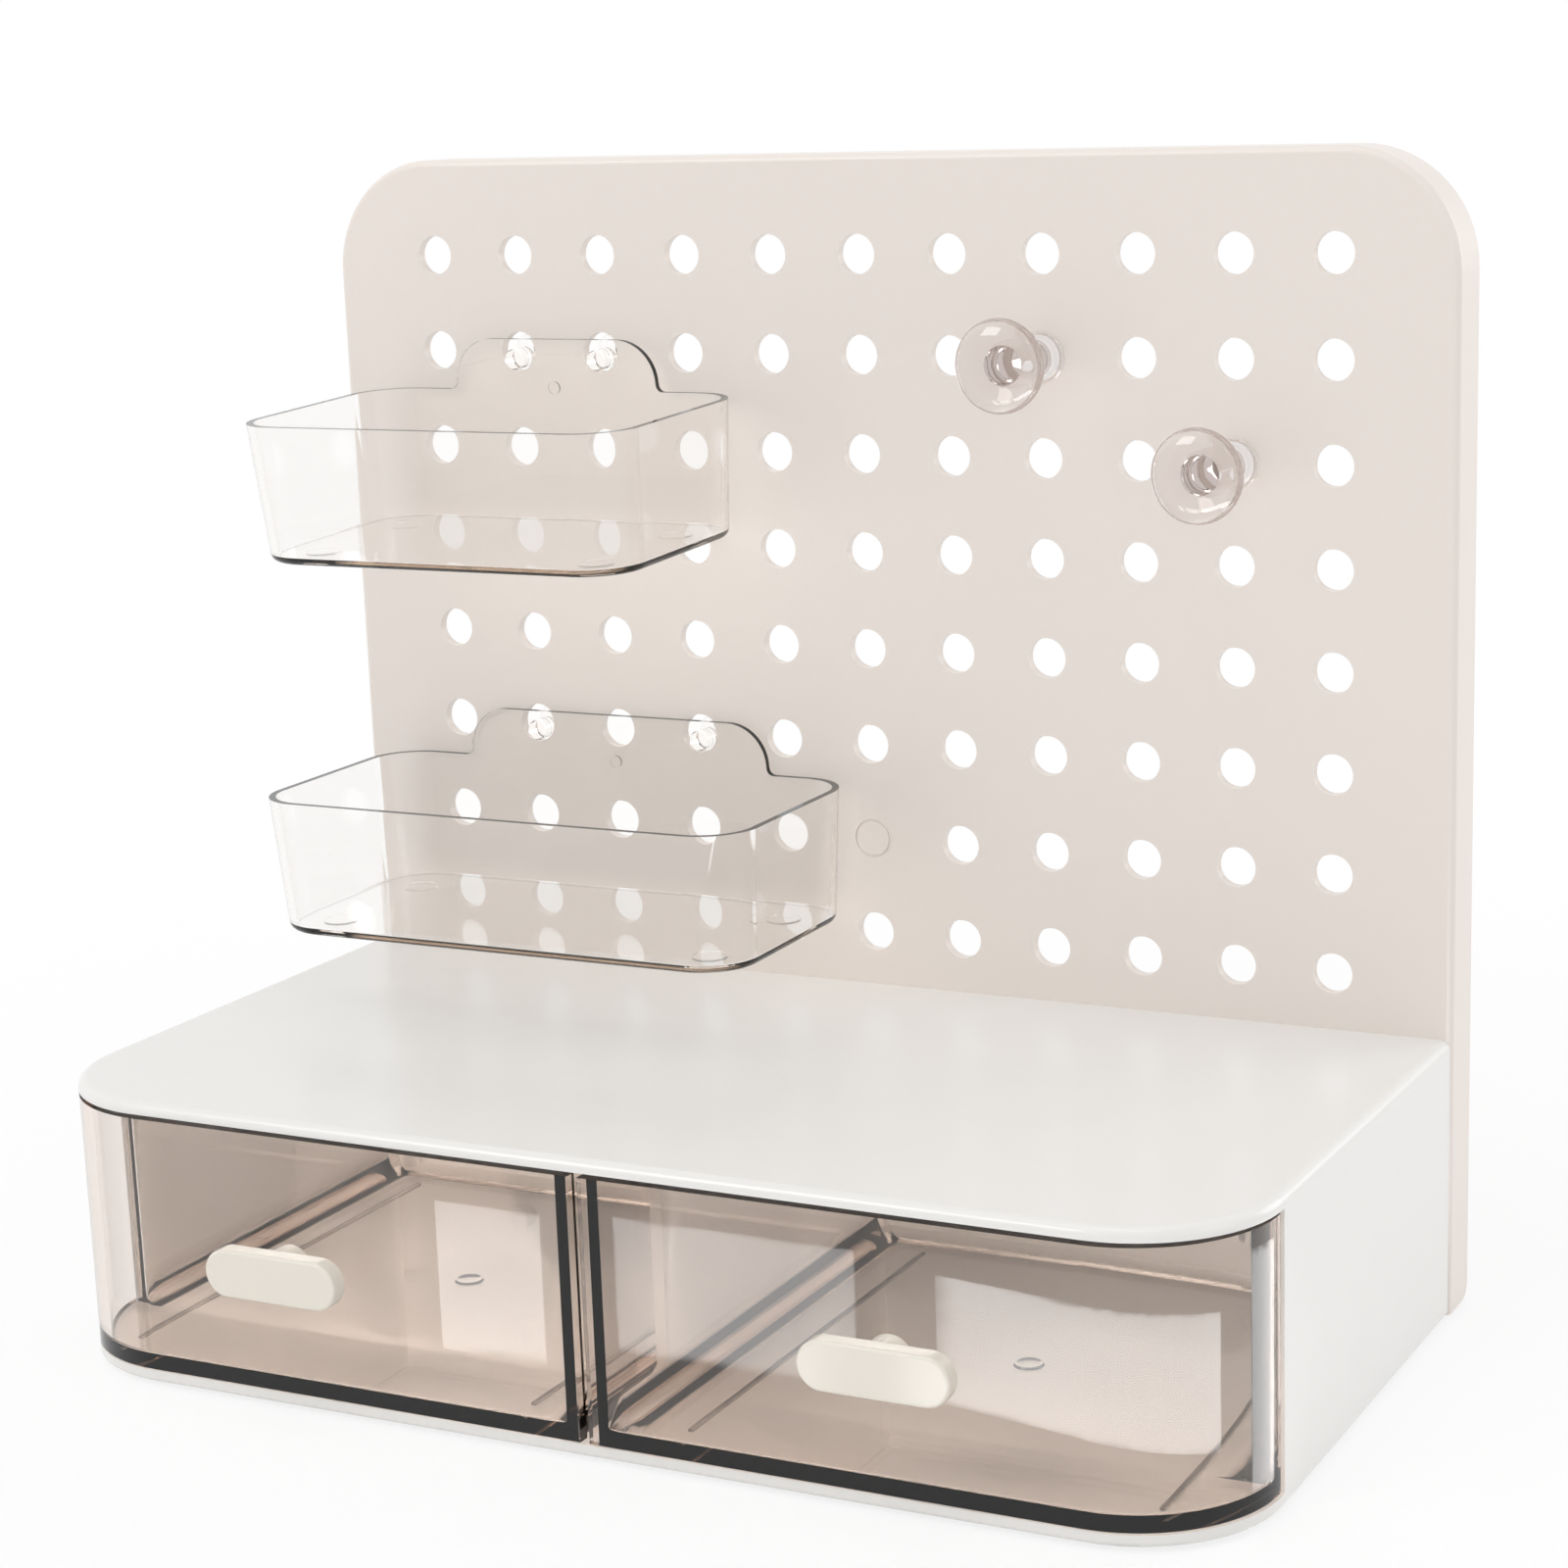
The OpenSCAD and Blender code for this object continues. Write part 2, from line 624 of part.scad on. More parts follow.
// Half section of a peg: radius along x, distance in front of the face along y
module peg_section() {
  head_r = peg_head_d / 2;
  round_r = peg_head_t / 2;
  neck_y = peg_len - peg_head_t;
  flare = (neck_y - peg_collar_t) / 2;
  collar_r = peg_collar_d / 2;
  // head with a full round rim
  translate([0, neck_y]) square([head_r - round_r, peg_head_t]);
  translate([head_r - round_r, peg_len - round_r]) circle(round_r);
  // waisted stem, flaring out to the head and to the collar
  difference() {
    translate([0, peg_collar_t - 0.1]) square([collar_r - 0.6, neck_y - peg_collar_t + 0.2]);
    translate([peg_waist_d / 2 + flare, peg_collar_t + flare]) circle(flare);
    translate([peg_waist_d / 2 + flare, peg_collar_t]) square([collar_r, 2 * flare]);
  }
  square([collar_r, peg_collar_t]);
  // plug through the hole
  translate([0, -face_t - plug_reach]) square([hole_d / 2 - plug_gap - 0.8, 1]);
  translate([0, 0.8 - face_t - plug_reach]) square([hole_d / 2 - plug_gap, face_t + plug_reach]);
  translate([hole_d / 2 - plug_gap - 0.8, 0.8 - face_t - plug_reach]) circle(0.8);
}

module peg(row, col) {
  color(clear) translate([hole_x(col), face_y, hole_z(row)]) rotate([90, 0, 0]) rotate_extrude()
    intersection() {
      peg_section();
      translate([0, -face_t - plug_reach]) square(peg_len + face_t + plug_reach + peg_head_d);
    }
}

module peg_upper() { peg(upper_peg_row, upper_peg_col); }
module peg_lower() { peg(lower_peg_row, lower_peg_col); }

module foot_front_left() { foot(-1, 0); }
module foot_front_right() { foot(1, 0); }
module foot_back_left() { foot(-1, 1); }
module foot_back_right() { foot(1, 1); }

housing();
bottom_plate();
pegboard();
drawer_left();
drawer_right();
knob_left();
knob_right();
knob_screw_left();
knob_screw_right();
tray_upper();
tray_lower();
peg_upper();
peg_lower();
foot_front_left();
foot_front_right();
foot_back_left();
foot_back_right();
board_screw_left_low();
board_screw_left_high();
board_screw_right_low();
board_screw_right_high();
bottom_screw_left();
bottom_screw_middle();
bottom_screw_right();
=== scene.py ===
import json
import math

import bmesh
import bpy
from mathutils import Matrix, Vector


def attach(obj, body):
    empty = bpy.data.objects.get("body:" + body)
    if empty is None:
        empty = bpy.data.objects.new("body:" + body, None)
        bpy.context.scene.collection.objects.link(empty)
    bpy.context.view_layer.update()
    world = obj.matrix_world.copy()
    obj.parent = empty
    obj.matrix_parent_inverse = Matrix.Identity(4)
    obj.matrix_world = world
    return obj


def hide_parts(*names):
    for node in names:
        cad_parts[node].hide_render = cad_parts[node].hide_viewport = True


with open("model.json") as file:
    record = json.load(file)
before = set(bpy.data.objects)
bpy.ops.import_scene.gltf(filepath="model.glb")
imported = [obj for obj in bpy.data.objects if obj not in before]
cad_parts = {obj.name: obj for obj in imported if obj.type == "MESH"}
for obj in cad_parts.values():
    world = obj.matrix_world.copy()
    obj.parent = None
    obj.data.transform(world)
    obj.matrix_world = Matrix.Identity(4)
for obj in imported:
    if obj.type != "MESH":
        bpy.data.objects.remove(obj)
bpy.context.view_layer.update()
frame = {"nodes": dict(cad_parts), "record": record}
nodes = frame["nodes"]


def mm(*place):
    """A place in millimetres, in Blender's metres."""
    return Vector(place) * 0.001


# ---------- Finishes ----------

def feed(node, inputs):
    """Gives each input a plain value, or links it to the socket that feeds it."""
    for name, value in inputs.items():
        if isinstance(value, bpy.types.NodeSocket):
            node.id_data.links.new(value, node.inputs[name])
        else:
            node.inputs[name].default_value = value


def add_node(tree, kind, inputs=None):
    """A new shader node, fed with these inputs."""
    node = tree.nodes.new("ShaderNode" + kind)
    feed(node, inputs or {})
    return node


def add_math(tree, operation, first, second):
    node = add_node(tree, "Math", {0: first, 1: second})
    node.operation = operation
    return node.outputs["Value"]


def new_material(name):
    """A node material, with its tree, its Principled shader and its Object coordinates."""
    material = bpy.data.materials.new(name)
    material.use_nodes = True
    tree = material.node_tree
    where = add_node(tree, "TexCoord").outputs["Object"]
    return material, tree, tree.nodes["Principled BSDF"], where


def moulded_texture(tree, shader, where, wave_scale, wave_height, rough_low, rough_high):
    """Faint waviness, its height in metres, and uneven gloss, as a moulded surface has."""
    wave = add_node(tree, "TexNoise", {"Vector": where, "Scale": wave_scale, "Detail": 2.0})
    bump = add_node(tree, "Bump", {"Height": wave.outputs["Fac"], "Strength": 1.0, "Distance": wave_height})
    haze = add_node(tree, "TexNoise", {"Vector": where, "Scale": 38.0, "Detail": 3.0})
    spread = add_node(tree, "MapRange", {"Value": haze.outputs["Fac"], "From Min": 0.3, "From Max": 0.7,
                                         "To Min": rough_low, "To Max": rough_high})
    feed(shader, {"Normal": bump.outputs["Normal"], "Roughness": spread.outputs["Result"]})


def white_plastic(name, colour, rough_low, rough_high, specular=0.5):
    """Moulded plastic, in places a hair darker than its colour."""
    material, tree, shader, where = new_material(name)
    drift = add_node(tree, "TexNoise", {"Vector": where, "Scale": 6.0, "Detail": 1.0})
    ramp = add_node(tree, "ValToRGB", {"Fac": drift.outputs["Fac"]})
    ramp.color_ramp.elements[0].color = (*[c * 0.985 for c in colour], 1)
    ramp.color_ramp.elements[1].color = (*colour, 1)
    feed(shader, {"Base Color": ramp.outputs["Color"], "Specular IOR Level": specular})
    moulded_texture(tree, shader, where, 60.0, 0.000008, rough_low, rough_high)
    return material


def clear_plastic(name, tint, density):
    """Clear plastic that darkens with the length of the way through it; lamps shine through it."""
    lamp_way = 0.0012  # the plastic that a lamp's light is taken to pass at a surface, in metres
    dimmed = [1 - (1 - t) * density * lamp_way for t in tint]
    material, tree, shader, where = new_material(name)
    feed(shader, {"Base Color": (1, 1, 1, 1), "Transmission Weight": 1.0, "IOR": 1.49})
    moulded_texture(tree, shader, where, 26.0, 0.00001, 0.0, 0.02)
    path = add_node(tree, "LightPath")
    see_through = add_node(tree, "BsdfTransparent", {"Color": (*dimmed, 1)})
    mix = add_node(tree, "MixShader", {"Fac": path.outputs["Is Shadow Ray"], 1: shader.outputs["BSDF"],
                                       2: see_through.outputs["BSDF"]})
    absorb = add_node(tree, "VolumeAbsorption", {"Color": (*tint, 1), "Density": density})
    feed(tree.nodes["Material Output"], {"Surface": mix.outputs["Shader"],
                                         "Volume": absorb.outputs["Volume"]})
    return material


def plain_metal(name, colour, roughness):
    material, tree, shader, where = new_material(name)
    feed(shader, {"Base Color": (*colour, 1), "Metallic": 1.0})
    moulded_texture(tree, shader, where, 900.0, 0.00001, roughness * 0.8, roughness * 1.2)
    return material


def rubber(name, colour):
    material, tree, shader, where = new_material(name)
    feed(shader, {"Base Color": (*colour, 1)})
    moulded_texture(tree, shader, where, 2000.0, 0.00005, 0.7, 0.9)
    return material


peg_clear = clear_plastic("solid_clear_plastic", (0.58, 0.48, 0.44), 38.0)

FINISH = {"shell_white": white_plastic("shell_white", (0.80, 0.79, 0.77), 0.2, 0.26),
          "board_white": white_plastic("board_white", (0.79, 0.726, 0.676), 0.3, 0.36),
          "cream": white_plastic("cream_plastic", (0.79, 0.745, 0.668), 0.14, 0.2, specular=0.25),
          "smoke_clear": clear_plastic("smoke_clear_plastic", (0.72, 0.46, 0.27), 50.0),
          "clear": clear_plastic("clear_plastic", (0.78, 0.5, 0.2), 12.0),
          "steel": plain_metal("zinc_plated_steel", (0.55, 0.55, 0.57), 0.35),
          "pad_grey": rubber("grey_rubber", (0.05, 0.05, 0.055))}
for part in frame["record"]["subparts"]:
    obj = nodes[part["node"]]
    obj.data.materials.clear()
    obj.data.materials.append(FINISH[part["material_slot"]])


# ---------- Sizes in millimetres, as the solids have them ----------

# the board's face and its holes
FACE_Y = 75.5
FACE_T = 3.0
PITCH = 25.0
ROW_1_Z = 261.25

# a hanging tray, in levels from the row that it hangs from
TRAY_RIM = -9.8
TRAY_BASE = -45.4
TRAY_DEPTH = 70.0
TRAY_WALL = 1.8
TRAY_GAP = 0.3

# the right drawer, which the left one mirrors; X grows from the partition to the side
INNER_X = 2.7
OUTER_X = 150.8
EDGE_X = 154.5
FRONT_Y = -81.5
STEP_Y = -47.5
BACK_Y = 66.5
UNDER_Z = 4.6
FLOOR_Z = 7.6
BRIM_Z = 68.1
DRAWER_WALL = 2.8  # between the solids' fronts of 3.0 and walls of 2.6
CORNER_R = 33.0
CORNER_X = EDGE_X - CORNER_R
CORNER_Y = FRONT_Y + CORNER_R
KNOB_X = 77.85
KNOB_Z = 36.35


def row_z(row):
    """The level of a row of the board's holes, counted from the top."""
    return ROW_1_Z - (row - 1) * PITCH


# ---------- Ways of making a piece ----------

def finish_piece(bm, name, body, node, slot, material=None):
    """Makes the piece from a bmesh in millimetres; it rides on a body and stands for a node."""
    bmesh.ops.transform(bm, matrix=Matrix.Scale(0.001, 4), verts=bm.verts)
    mesh = bpy.data.meshes.new(name)
    bm.to_mesh(mesh)
    bm.free()
    mesh.shade_smooth()
    mesh.set_sharp_from_angle(angle=math.radians(32))
    piece = bpy.data.objects.new(name, mesh)
    bpy.context.scene.collection.objects.link(piece)
    mesh.materials.append(material or FINISH[slot])
    flat = piece.modifiers.new("flat_faces_stay_flat", "WEIGHTED_NORMAL")
    flat.mode = "FACE_AREA"
    flat.weight = 50
    flat.keep_sharp = True
    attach(piece, body)
    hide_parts(node)
    return piece


def round_edges(bm, edges, radius, segments):
    """Rounds the edges with so many flat steps."""
    bmesh.ops.bevel(bm, geom=list(edges), offset=radius, offset_type="OFFSET", segments=segments,
                    profile=0.5, affect="EDGES", clamp_overlap=True, material=-1)


def edges_where(bm, test, sharper_than):
    """Edges whose two ends both pass the test, and that turn by more than so many degrees."""
    limit = math.radians(sharper_than)
    return [e for e in bm.edges
            if test(e.verts[0].co) and test(e.verts[1].co)
            and len(e.link_faces) == 2 and e.calc_face_angle(0) > limit]


def upright(edge):
    """Whether the edge goes up far more than it goes along."""
    a, b = edge.verts[0].co, edge.verts[1].co
    return abs(a.z - b.z) > 0.8 * (a - b).length


def extrude(bm, faces, keep_base=False):
    """Extrudes the faces, which go or stay as a base, and gives the new verts and faces to be moved."""
    grown = bmesh.ops.extrude_face_region(bm, geom=faces)["geom"]
    left_over = [f for f in faces if f.is_valid and f not in grown and not keep_base]
    bmesh.ops.delete(bm, geom=left_over, context="FACES_ONLY")
    verts = [g for g in grown if isinstance(g, bmesh.types.BMVert)]
    return verts, [g for g in grown if isinstance(g, bmesh.types.BMFace)]


def quarter_round(radius, degrees):
    """After so many degrees: how far the round has come one way, and how far is left the other way."""
    turn = math.radians(degrees)
    return radius * (1 - math.cos(turn)), radius * (1 - math.sin(turn))


def add_disc(bm, centre, radius, thick, axis="Z", segments=40):
    """Adds a round disc, centred on a point."""
    turn = Matrix.Rotation(math.radians(90), 4, "X") if axis == "Y" else Matrix.Identity(4)
    bmesh.ops.create_cone(bm, cap_ends=True, segments=segments, radius1=radius, radius2=radius,
                          depth=thick, matrix=Matrix.Translation(centre) @ turn)


def add_stadium_plate(bm, length, height, thick, centre, rounding, segments, along):
    """Adds a plate with round ends that faces along Y and is long along X or up Z, with rolled edges."""
    made = bmesh.ops.create_circle(bm, cap_ends=True, segments=48, radius=height / 2,
                                   matrix=Matrix.Rotation(math.radians(90), 4, "X"))
    verts = made["verts"]
    for v in verts:
        if along == "X" and abs(v.co.x) > 1e-6:
            v.co.x += math.copysign((length - height) / 2, v.co.x)
        elif along == "Z" and v.co.z > 1e-6:
            v.co.z += length - height
    face = next(f for f in bm.faces if set(f.verts) == set(verts))
    grown, _ = extrude(bm, [face], keep_base=True)
    bmesh.ops.translate(bm, vec=(0, thick, 0), verts=grown)
    both = set(verts + grown)
    bmesh.ops.translate(bm, vec=Vector(centre) - Vector((0, thick / 2, 0)), verts=list(both))
    rims = [e for e in bm.edges if e.verts[0] in both and e.verts[1] in both
            and abs(e.verts[0].co.y - e.verts[1].co.y) < 1e-6 and e.calc_face_angle(0) > 1.0]
    bmesh.ops.recalc_face_normals(bm, faces=list({f for v in both for f in v.link_faces}))
    round_edges(bm, rims, rounding, segments)


def join_solids(bm, other):
    """One closed solid made of two that overlap, both in millimetres."""
    pieces = []
    for source in (bm, other):
        mesh = bpy.data.meshes.new("solid_to_join")
        source.to_mesh(mesh)
        source.free()
        obj = bpy.data.objects.new("solid_to_join", mesh)
        bpy.context.scene.collection.objects.link(obj)
        pieces.append(obj)
    join = pieces[0].modifiers.new("join", "BOOLEAN")
    join.operation = "UNION"
    join.solver = "EXACT"
    join.object = pieces[1]
    joined = bmesh.new()
    joined.from_object(pieces[0], bpy.context.evaluated_depsgraph_get())
    for obj in pieces:
        mesh = obj.data
        bpy.data.objects.remove(obj)
        bpy.data.meshes.remove(mesh)
    bmesh.ops.remove_doubles(joined, verts=joined.verts, dist=1e-4)
    return joined


# ---------- Hanging trays ----------

def tray_box(width):
    """The open box with its tapered walls; its back lies along the plane Y = 0."""
    taper, corner, corner_segments, base_round = 2.2, 14.0, 24, 1.9
    bm = bmesh.new()
    bmesh.ops.create_cube(bm, size=1.0)
    bmesh.ops.scale(bm, vec=(width, TRAY_DEPTH, TRAY_RIM - TRAY_BASE), verts=bm.verts)
    bmesh.ops.translate(bm, vec=(0, -TRAY_DEPTH / 2, (TRAY_RIM + TRAY_BASE) / 2), verts=bm.verts)
    for v in bm.verts:
        if v.co.z < TRAY_BASE + 1:
            v.co.x -= math.copysign(taper, v.co.x)
            v.co.y += taper if v.co.y < -1 else 0
    round_edges(bm, [e for e in bm.edges if upright(e)], corner, corner_segments)
    round_edges(bm, edges_where(bm, lambda c: c.z < TRAY_BASE + 0.1, 30), base_round, 5)
    bm.normal_update()
    top = [f for f in bm.faces if f.normal.z > 0.9]
    bmesh.ops.delete(bm, geom=top, context="FACES_ONLY")
    bmesh.ops.recalc_face_normals(bm, faces=bm.faces)
    bmesh.ops.solidify(bm, geom=bm.faces[:], thickness=TRAY_WALL)
    bmesh.ops.recalc_face_normals(bm, faces=bm.faces)
    for v in bm.verts:
        if v.co.z > TRAY_RIM - 1:
            v.co.z = TRAY_RIM
    return bm


def rim_behind(bm):
    """The strip of rim over the back wall that crosses the middle."""
    bm.normal_update()
    return next(f for f in bm.faces
                if f.normal.z > 0.9 and f.calc_center_median().z > TRAY_RIM - 0.5
                and f.calc_center_median().y > -TRAY_WALL - 0.1
                and min(v.co.x for v in f.verts) < 0 < max(v.co.x for v in f.verts))


def grow_tab(bm, width):
    """Grows the hanging tab out of the rim: a fillet at its foot, straight sides, round shoulders."""
    half, fillet, shoulder, top_z = width / 2, 2.0, 11.4, 3.6
    for side in (-1, 1):
        rim = rim_behind(bm)
        bmesh.ops.bisect_plane(bm, geom=[rim] + rim.edges[:] + rim.verts[:], dist=1e-5,
                               plane_co=(side * (half + fillet), 0, 0), plane_no=(1, 0, 0))
    rim = rim_behind(bm)
    steps = []
    for degrees in (22.5, 45, 67.5, 90):
        up, out = quarter_round(fillet, degrees)
        steps.append((half + out, TRAY_RIM + up))
    for degrees in range(6, 90, 6):
        inwards, down = quarter_round(shoulder, degrees)
        steps.append((half - inwards, top_z - down))
    steps.append((half - shoulder, top_z))
    for half_now, z in steps:
        verts, faces = extrude(bm, [rim])
        rim = faces[0]
        for v in verts:
            v.co.x = math.copysign(half_now, v.co.x)
            v.co.z = z
    bmesh.ops.recalc_face_normals(bm, faces=bm.faces)


def hooks_and_pads(hooks, pads, mark_z):
    """Pins that go through the board with tips that turn up behind it, foot pads and the gate's mark."""
    pin_z, pin_r, root_y, end_y = -1.9, 2.7, -0.9, TRAY_GAP + FACE_T + 3.6
    tip_height, tip_width, tip_t, tip_round = 8.5, 5.5, 2.0, 0.9
    pad_r, pad_t, mark_r, mark_t = 4.5, 0.6, 1.7, 0.7
    pins, tips = bmesh.new(), bmesh.new()
    for x in hooks:
        add_disc(pins, (x, (end_y + root_y) / 2, pin_z), pin_r, end_y - root_y, axis="Y", segments=48)
        add_stadium_plate(tips, tip_height, tip_width, tip_t, (x, end_y, pin_z), tip_round, 5, along="Z")
    for x, y in pads:
        add_disc(tips, (x, y, TRAY_BASE - 0.2), pad_r, pad_t)
    add_disc(tips, (0, -TRAY_WALL, mark_z), mark_r, mark_t, axis="Y", segments=24)
    return join_solids(pins, tips)


def hanging_tray(name, body, node, width, tab, hooks, middle_x, row, lean, mark_z):
    """A tray hung from a row of holes, leaning forward by some degrees about its base's back edge."""
    edge_round, pad_inset = 0.45, 16.0
    bm = tray_box(width)
    grow_tab(bm, tab)
    round_edges(bm, edges_where(bm, lambda c: c.z > TRAY_RIM - 0.05, 50), edge_round, 3)
    pads = [(side * (width / 2 - pad_inset), y) for side in (-1, 1)
            for y in (pad_inset - TRAY_DEPTH, -pad_inset)]
    bm = join_solids(bm, hooks_and_pads(hooks, pads, mark_z))
    hung = (Matrix.Translation((middle_x, FACE_Y - TRAY_GAP, row_z(row) + TRAY_BASE))
            @ Matrix.Rotation(math.radians(lean), 4, "X") @ Matrix.Translation((0, 0, -TRAY_BASE)))
    bmesh.ops.transform(bm, matrix=hung, verts=bm.verts)
    finish_piece(bm, name, body, node, "clear")


hanging_tray("upper_tray_shell", "upper_tray", "tray_upper", 112.8, 61.0, (-12.5, 12.5), -87.5, 2,
             lean=2.8, mark_z=-9.0)
hanging_tray("lower_tray_shell", "lower_tray", "tray_lower", 142.4, 91.0, (-25.0, 25.0), -75.0, 6,
             lean=0.5, mark_z=-8.8)


# ---------- Pegs ----------

def arc(cx, cy, r, start, end, count):
    """Points on an arc about (cx, cy), from one angle to another in degrees."""
    angles = [math.radians(start + (end - start) * i / count) for i in range(count + 1)]
    return [(cx + r * math.cos(a), cy + r * math.sin(a)) for a in angles]


def peg(name, body, node, col_x, row):
    """Turned from its half section: radius along X, distance in front of the board along Z."""
    plug_r, plug_round, plug_end = 4.8, 0.8, -FACE_T - 3
    collar_r, collar_round, collar_t = 6.3, 0.4, 2.0
    neck_r, waist_r = 5.6, 3.7
    head_r, head_t, edge_r, length = 11.5, 7.6, 8.8, 29.5
    neck = length - head_t
    line = [(0.0, plug_end)]
    line += arc(plug_r - plug_round, plug_end + plug_round, plug_round, -90, 0, 4)
    line += [(plug_r, 0.0)]
    line += arc(collar_r - collar_round, collar_round, collar_round, -90, 0, 3)
    line += arc(collar_r - collar_round, collar_t - collar_round, collar_round, 0, 90, 3)
    line += [(neck_r, collar_t)]
    line += [(neck_r - (neck_r - waist_r) * math.sin(math.pi * t / 14) ** 0.8,
              collar_t + (neck - collar_t) * t / 14) for t in range(1, 13)]
    # the back of the head swells out of the neck, and its front is a low dome
    belly = neck + 0.5 * head_t
    line += [(4.5, neck), (neck_r, neck + 0.35), (7.2, neck + 0.55), (8.6, neck + 0.8)]
    line += arc(edge_r, belly, head_r - edge_r, -75, 0, 8)
    line += [(head_r * math.cos(math.radians(a)) ** 0.8,
              belly + (length - belly) * math.sin(math.radians(a))) for a in range(6, 90, 6)]
    line += [(0.0, length)]
    bm = bmesh.new()
    verts = [bm.verts.new((r, 0, z)) for r, z in line]
    edges = [bm.edges.new(pair) for pair in zip(verts, verts[1:])]
    bmesh.ops.spin(bm, geom=verts + edges, axis=(0, 0, 1), cent=(0, 0, 0), angle=math.radians(360),
                   steps=64, use_merge=True)
    bmesh.ops.remove_doubles(bm, verts=bm.verts, dist=1e-4)
    bmesh.ops.recalc_face_normals(bm, faces=bm.faces)
    in_hole = Matrix.Translation((col_x, FACE_Y, row_z(row))) @ Matrix.Rotation(math.radians(90), 4, "X")
    bmesh.ops.transform(bm, matrix=in_hole, verts=bm.verts)
    finish_piece(bm, name, body, node, "clear", peg_clear)


peg("upper_peg_turned", "upper_peg", "peg_upper", 50.0, 2)
peg("lower_peg_turned", "lower_peg", "peg_lower", 100.0, 3)


# ---------- Drawers and knobs ----------

# the drawer's inside, where the walls stand straight
IN_X = INNER_X + DRAWER_WALL
IN_OUTER_X = OUTER_X - DRAWER_WALL
IN_EDGE_X = EDGE_X - DRAWER_WALL
IN_FRONT_Y = FRONT_Y + DRAWER_WALL
IN_STEP_Y = STEP_Y - DRAWER_WALL
IN_BACK_Y = BACK_Y - DRAWER_WALL
FRONT_ZONE = 7.0  # how far behind the front the wide fillets start


def drawer_block():
    """The drawer's outside as a closed block, with its round front corner and its back corners."""
    back_round = 4.0
    bm = bmesh.new()
    plan = [(INNER_X, FRONT_Y), (EDGE_X, FRONT_Y), (EDGE_X, STEP_Y),
            (OUTER_X, STEP_Y), (OUTER_X, BACK_Y), (INNER_X, BACK_Y)]
    base = bm.faces.new([bm.verts.new((x, y, UNDER_Z)) for x, y in plan])
    risen, _ = extrude(bm, [base], keep_base=True)
    bmesh.ops.translate(bm, vec=(0, 0, BRIM_Z - UNDER_Z), verts=risen)
    bmesh.ops.recalc_face_normals(bm, faces=bm.faces)
    corner = [e for e in bm.edges
              if upright(e) and e.verts[0].co.x > EDGE_X - 1 and e.verts[0].co.y < FRONT_Y + 1]
    round_edges(bm, corner, CORNER_R, 24)
    back = [e for e in bm.edges if upright(e) and e.verts[0].co.y > BACK_Y - 1]
    round_edges(bm, back, back_round, 6)
    return bm


def sunk_place(at, wide_in, wide_up, tight_in, tight_up):
    """Where a point of the inside's plan goes when the fillets have come so far in and so far up."""
    behind = at.y > IN_STEP_Y + 1 if at.x > CORNER_X else at.y > IN_FRONT_Y + FRONT_ZONE - 1
    x, y = at.x, at.y
    if at.x < IN_X + 1.5:
        x += wide_in
    elif at.x > IN_OUTER_X - 1.5 and at.y > IN_STEP_Y - 0.5 and at.x < IN_OUTER_X + 0.5:
        x -= wide_in
    elif at.x > IN_EDGE_X - 0.01 and at.y > CORNER_Y - 0.5:
        x -= tight_in
    if at.y > IN_BACK_Y - 1.5:
        y -= 0.6 * wide_in  # the back wall's fillet is higher than it is deep
    elif at.y < IN_FRONT_Y + 0.01:
        y += tight_in
    elif abs(at.y - IN_STEP_Y) < 0.05 and at.x > CORNER_X:
        y -= tight_in
    elif at.x > CORNER_X and at.y < CORNER_Y:
        outward = (at.xy - Vector((CORNER_X, CORNER_Y))).normalized()
        x, y = at.xy - outward * tight_in
    return x, y, FLOOR_Z + (wide_up if behind else tight_up)


def hollow_out(bm):
    """Sinks the inside layer by layer to the floor: wide fillets behind the front, a tight one along it."""
    wide, tight, layers = 8.0, 1.0, 7
    bm.normal_update()
    top = next(f for f in bm.faces if f.normal.z > 0.9)
    bmesh.ops.inset_region(bm, faces=[top], thickness=DRAWER_WALL, use_even_offset=True)
    bm.normal_update()
    cap = max((f for f in bm.faces if f.normal.z > 0.9), key=lambda f: f.calc_area())
    # a point on each side wall ends the tight fillet and starts the wide one
    for at_x, front in ((IN_X, IN_FRONT_Y), (IN_OUTER_X, IN_STEP_Y)):
        run = max((e for e in cap.edges if all(abs(v.co.x - at_x) < 0.05 for v in e.verts)),
                  key=lambda e: e.calc_length())
        for g in bmesh.ops.subdivide_edges(bm, edges=[run], cuts=1)["geom_inner"]:
            if isinstance(g, bmesh.types.BMVert):
                g.co.y = front + FRONT_ZONE
    cap = max((f for f in bm.faces if f.normal.z > 0.9 and all(v.co.y > IN_FRONT_Y - 0.1 for v in f.verts)),
              key=lambda f: f.calc_area())
    plan = {v: v.co.copy() for v in cap.verts}
    for layer in range(layers + 1):
        degrees = 90 * layer / layers
        _, faces = extrude(bm, [cap])
        cap = faces[0]
        plan = {v: next(plan[e.other_vert(v)] for e in v.link_edges if e.other_vert(v) in plan)
                for v in cap.verts}
        for v, place in plan.items():
            v.co = sunk_place(place, *quarter_round(wide, degrees), *quarter_round(tight, degrees))
    bmesh.ops.recalc_face_normals(bm, faces=bm.faces)


